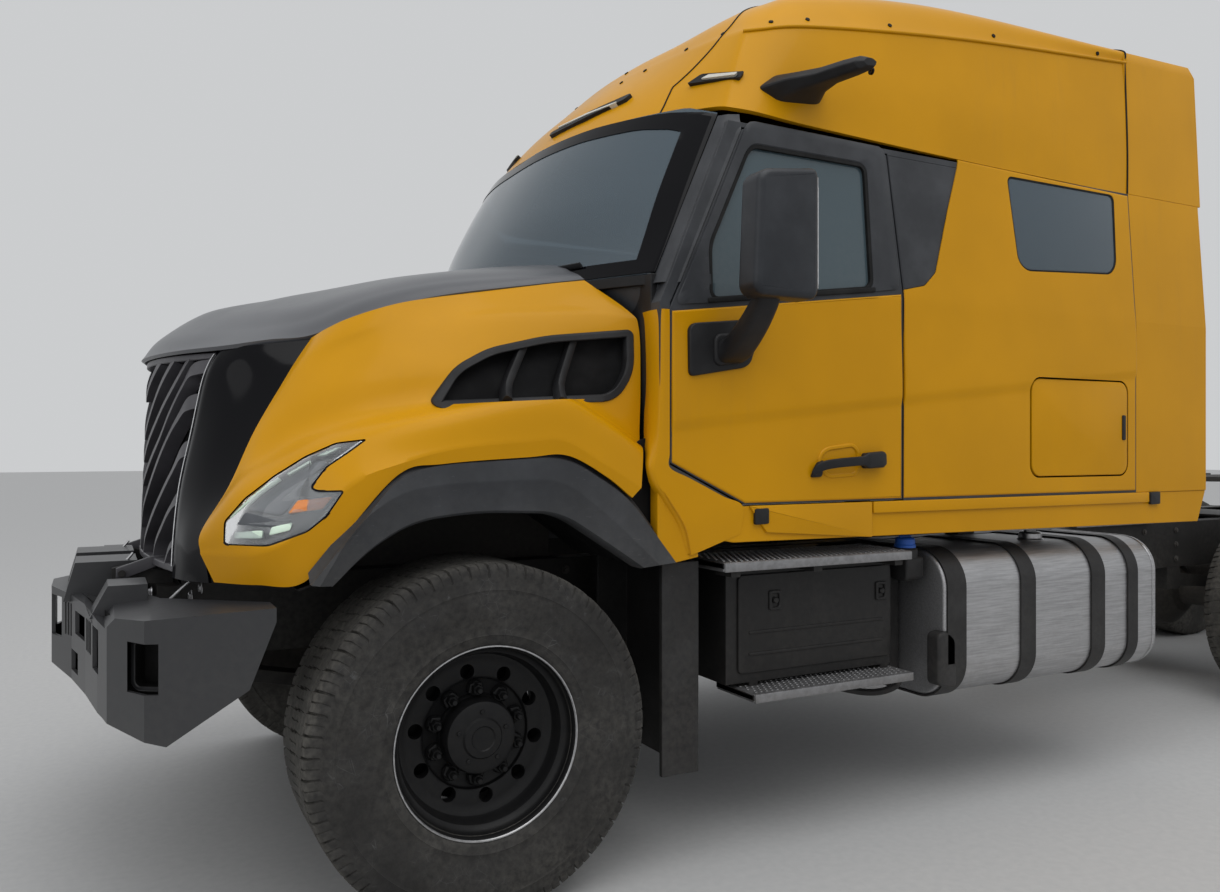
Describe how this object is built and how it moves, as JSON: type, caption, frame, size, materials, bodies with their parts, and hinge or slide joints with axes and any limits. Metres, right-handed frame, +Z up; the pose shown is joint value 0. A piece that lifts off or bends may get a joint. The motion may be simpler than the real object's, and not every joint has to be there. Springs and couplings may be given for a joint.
{
  "type": "semi truck tractor unit",
  "caption": "Bonneted high-roof sleeper tractor unit with tilting hood, opening doors, steered front axle, twin drive wheels and tilting fifth wheel.",
  "frame": {"origin": "on the ground, midway along and across the vehicle", "axes": "+X forward, +Y to the left side, +Z up"},
  "size_m": [8.625, 3.13, 3.468],
  "materials": {
    "paint_yellow": "gloss construction yellow paint",
    "charcoal": "matt charcoal moulded plastic",
    "gloss_black": "gloss black",
    "black_plastic": "grained black plastic",
    "bumper_steel": "satin charcoal powder coat",
    "frame_black": "black chassis paint",
    "cast": "dusty cast iron",
    "tank_aluminium": "brushed aluminium",
    "glass_dark": "tinted glass",
    "lamp_lens": "clear lamp lens",
    "red_lens": "red lens",
    "tyre": "dusty tyre rubber",
    "rim_black": "black painted steel rim",
    "trim_grey": "dark grey interior trim",
    "seat_cloth": "dark woven cloth",
    "step_black": "scuffed black paint"
  },
  "bodies": {
    "chassis": {"bumper_mount": "frame_black", "bunk": "seat_cloth", "cab_end_walls": "black_plastic", "cab_floor": "trim_grey", "cab_glass": "glass_dark", "cab_sides": "paint_yellow", "camera_arms": "black_plastic", "crossmembers": "frame_black", "dashboard": "trim_grey", "deck_plate": "tank_aluminium", "drive_axles": "cast", "engine_block": "cast", "extenders": "paint_yellow", "fifth_wheel_base": "frame_black", "frame_rails": "frame_black", "front_axle": "cast", "front_bumper": "bumper_steel", "fuel_tanks": "tank_aluminium", "mudguards": "black_plastic", "quarter_panels": "charcoal", "rear_fenders": "paint_yellow", "roof_fairing": "paint_yellow", "seats": "seat_cloth", "sill_skirts": "paint_yellow", "step_boxes": "step_black", "suspension": "frame_black", "tail_lamps": "red_lens", "tank_straps": "black_plastic"},
    "hood": {"hood_shell": "paint_yellow", "hood_top_panel": "charcoal", "grille": "charcoal", "grille_surround": "gloss_black", "headlamps": "lamp_lens", "side_vents": "black_plastic", "fender_flares": "charcoal"},
    "knuckle_l": {"knuckle_left": "cast"},
    "knuckle_r": {"knuckle_right": "cast"},
    "steering_rod": {"tie_rod": "cast"},
    "fifth_wheel_plate": {"fifth_wheel": "cast"},
    "cab_door_left": {"door_left": "paint_yellow", "door_glass_left": "glass_dark", "mirror_left": "black_plastic"},
    "luggage_lid_left": {"luggage_door_left": "paint_yellow"},
    "front_wheel_left": {"front_tyre_left": "tyre", "front_rim_left": "rim_black"},
    "drive1_wheel_left": {"drive1_tyres_left": "tyre", "drive1_rims_left": "rim_black"},
    "drive2_wheel_left": {"drive2_tyres_left": "tyre", "drive2_rims_left": "rim_black"},
    "cab_door_right": {"door_right": "paint_yellow", "door_glass_right": "glass_dark", "mirror_right": "black_plastic"},
    "luggage_lid_right": {"luggage_door_right": "paint_yellow"},
    "front_wheel_right": {"front_tyre_right": "tyre", "front_rim_right": "rim_black"},
    "drive1_wheel_right": {"drive1_tyres_right": "tyre", "drive1_rims_right": "rim_black"},
    "drive2_wheel_right": {"drive2_tyres_right": "tyre", "drive2_rims_right": "rim_black"}
  },
  "joints": [
    {"name": "hood_tilt", "type": "hinge", "parent": "chassis", "child": "hood", "pos_m": [4.0975, 0, 1.045], "axis": [0, 1, 0], "range_deg": [0, 60]},
    {"name": "door_left_swing", "type": "hinge", "parent": "chassis", "child": "cab_door_left", "pos_m": [2.4575, 1.22, 1.7], "axis": [0, 0, -1], "range_deg": [0, 70]},
    {"name": "door_right_swing", "type": "hinge", "parent": "chassis", "child": "cab_door_right", "pos_m": [2.4575, -1.22, 1.7], "axis": [0, 0, 1], "range_deg": [0, 70]},
    {"name": "luggage_left_swing", "type": "hinge", "parent": "chassis", "child": "luggage_lid_left", "pos_m": [0.6875, 1.22, 1.55], "axis": [0, 0, -1], "range_deg": [0, 95]},
    {"name": "luggage_right_swing", "type": "hinge", "parent": "chassis", "child": "luggage_lid_right", "pos_m": [0.6875, -1.22, 1.55], "axis": [0, 0, 1], "range_deg": [0, 95]},
    {"name": "steer_left", "type": "hinge", "parent": "chassis", "child": "knuckle_l", "pos_m": [3.0975, 0.87, 0.555], "axis": [0, 0, 1], "range_deg": [-34, 34]},
    {"name": "steer_right", "type": "hinge", "parent": "chassis", "child": "knuckle_r", "pos_m": [3.0975, -0.87, 0.555], "axis": [0, 0, 1], "range_deg": [-34, 34]},
    {"name": "tie_rod_swing", "type": "hinge", "parent": "knuckle_l", "child": "steering_rod", "pos_m": [2.9475, 0.87, 0.424], "axis": [0, 0, 1], "range_deg": [-34, 34]},
    {"name": "fifth_wheel_tilt", "type": "hinge", "parent": "chassis", "child": "fifth_wheel_plate", "pos_m": [-2.4375, 0, 1.19], "axis": [0, 1, 0], "range_deg": [-15, 15]},
    {"name": "front_wheel_left_spin", "type": "hinge", "parent": "knuckle_l", "child": "front_wheel_left", "pos_m": [3.0975, 1.009, 0.555], "axis": [0, 1, 0], "continuous": true},
    {"name": "drive1_left_spin", "type": "hinge", "parent": "chassis", "child": "drive1_wheel_left", "pos_m": [-2.0525, 0.905, 0.53], "axis": [0, 1, 0], "continuous": true},
    {"name": "drive2_left_spin", "type": "hinge", "parent": "chassis", "child": "drive2_wheel_left", "pos_m": [-3.4225, 0.905, 0.53], "axis": [0, 1, 0], "continuous": true},
    {"name": "front_wheel_right_spin", "type": "hinge", "parent": "knuckle_r", "child": "front_wheel_right", "pos_m": [3.0975, -1.009, 0.555], "axis": [0, 1, 0], "continuous": true},
    {"name": "drive1_right_spin", "type": "hinge", "parent": "chassis", "child": "drive1_wheel_right", "pos_m": [-2.0525, -0.905, 0.53], "axis": [0, 1, 0], "continuous": true},
    {"name": "drive2_right_spin", "type": "hinge", "parent": "chassis", "child": "drive2_wheel_right", "pos_m": [-3.4225, -0.905, 0.53], "axis": [0, 1, 0], "continuous": true}
  ],
  "couplings": [
    {"joint": "steer_right", "follows": "steer_left", "ratio": 1},
    {"joint": "tie_rod_swing", "follows": "steer_left", "ratio": -1}
  ]
}
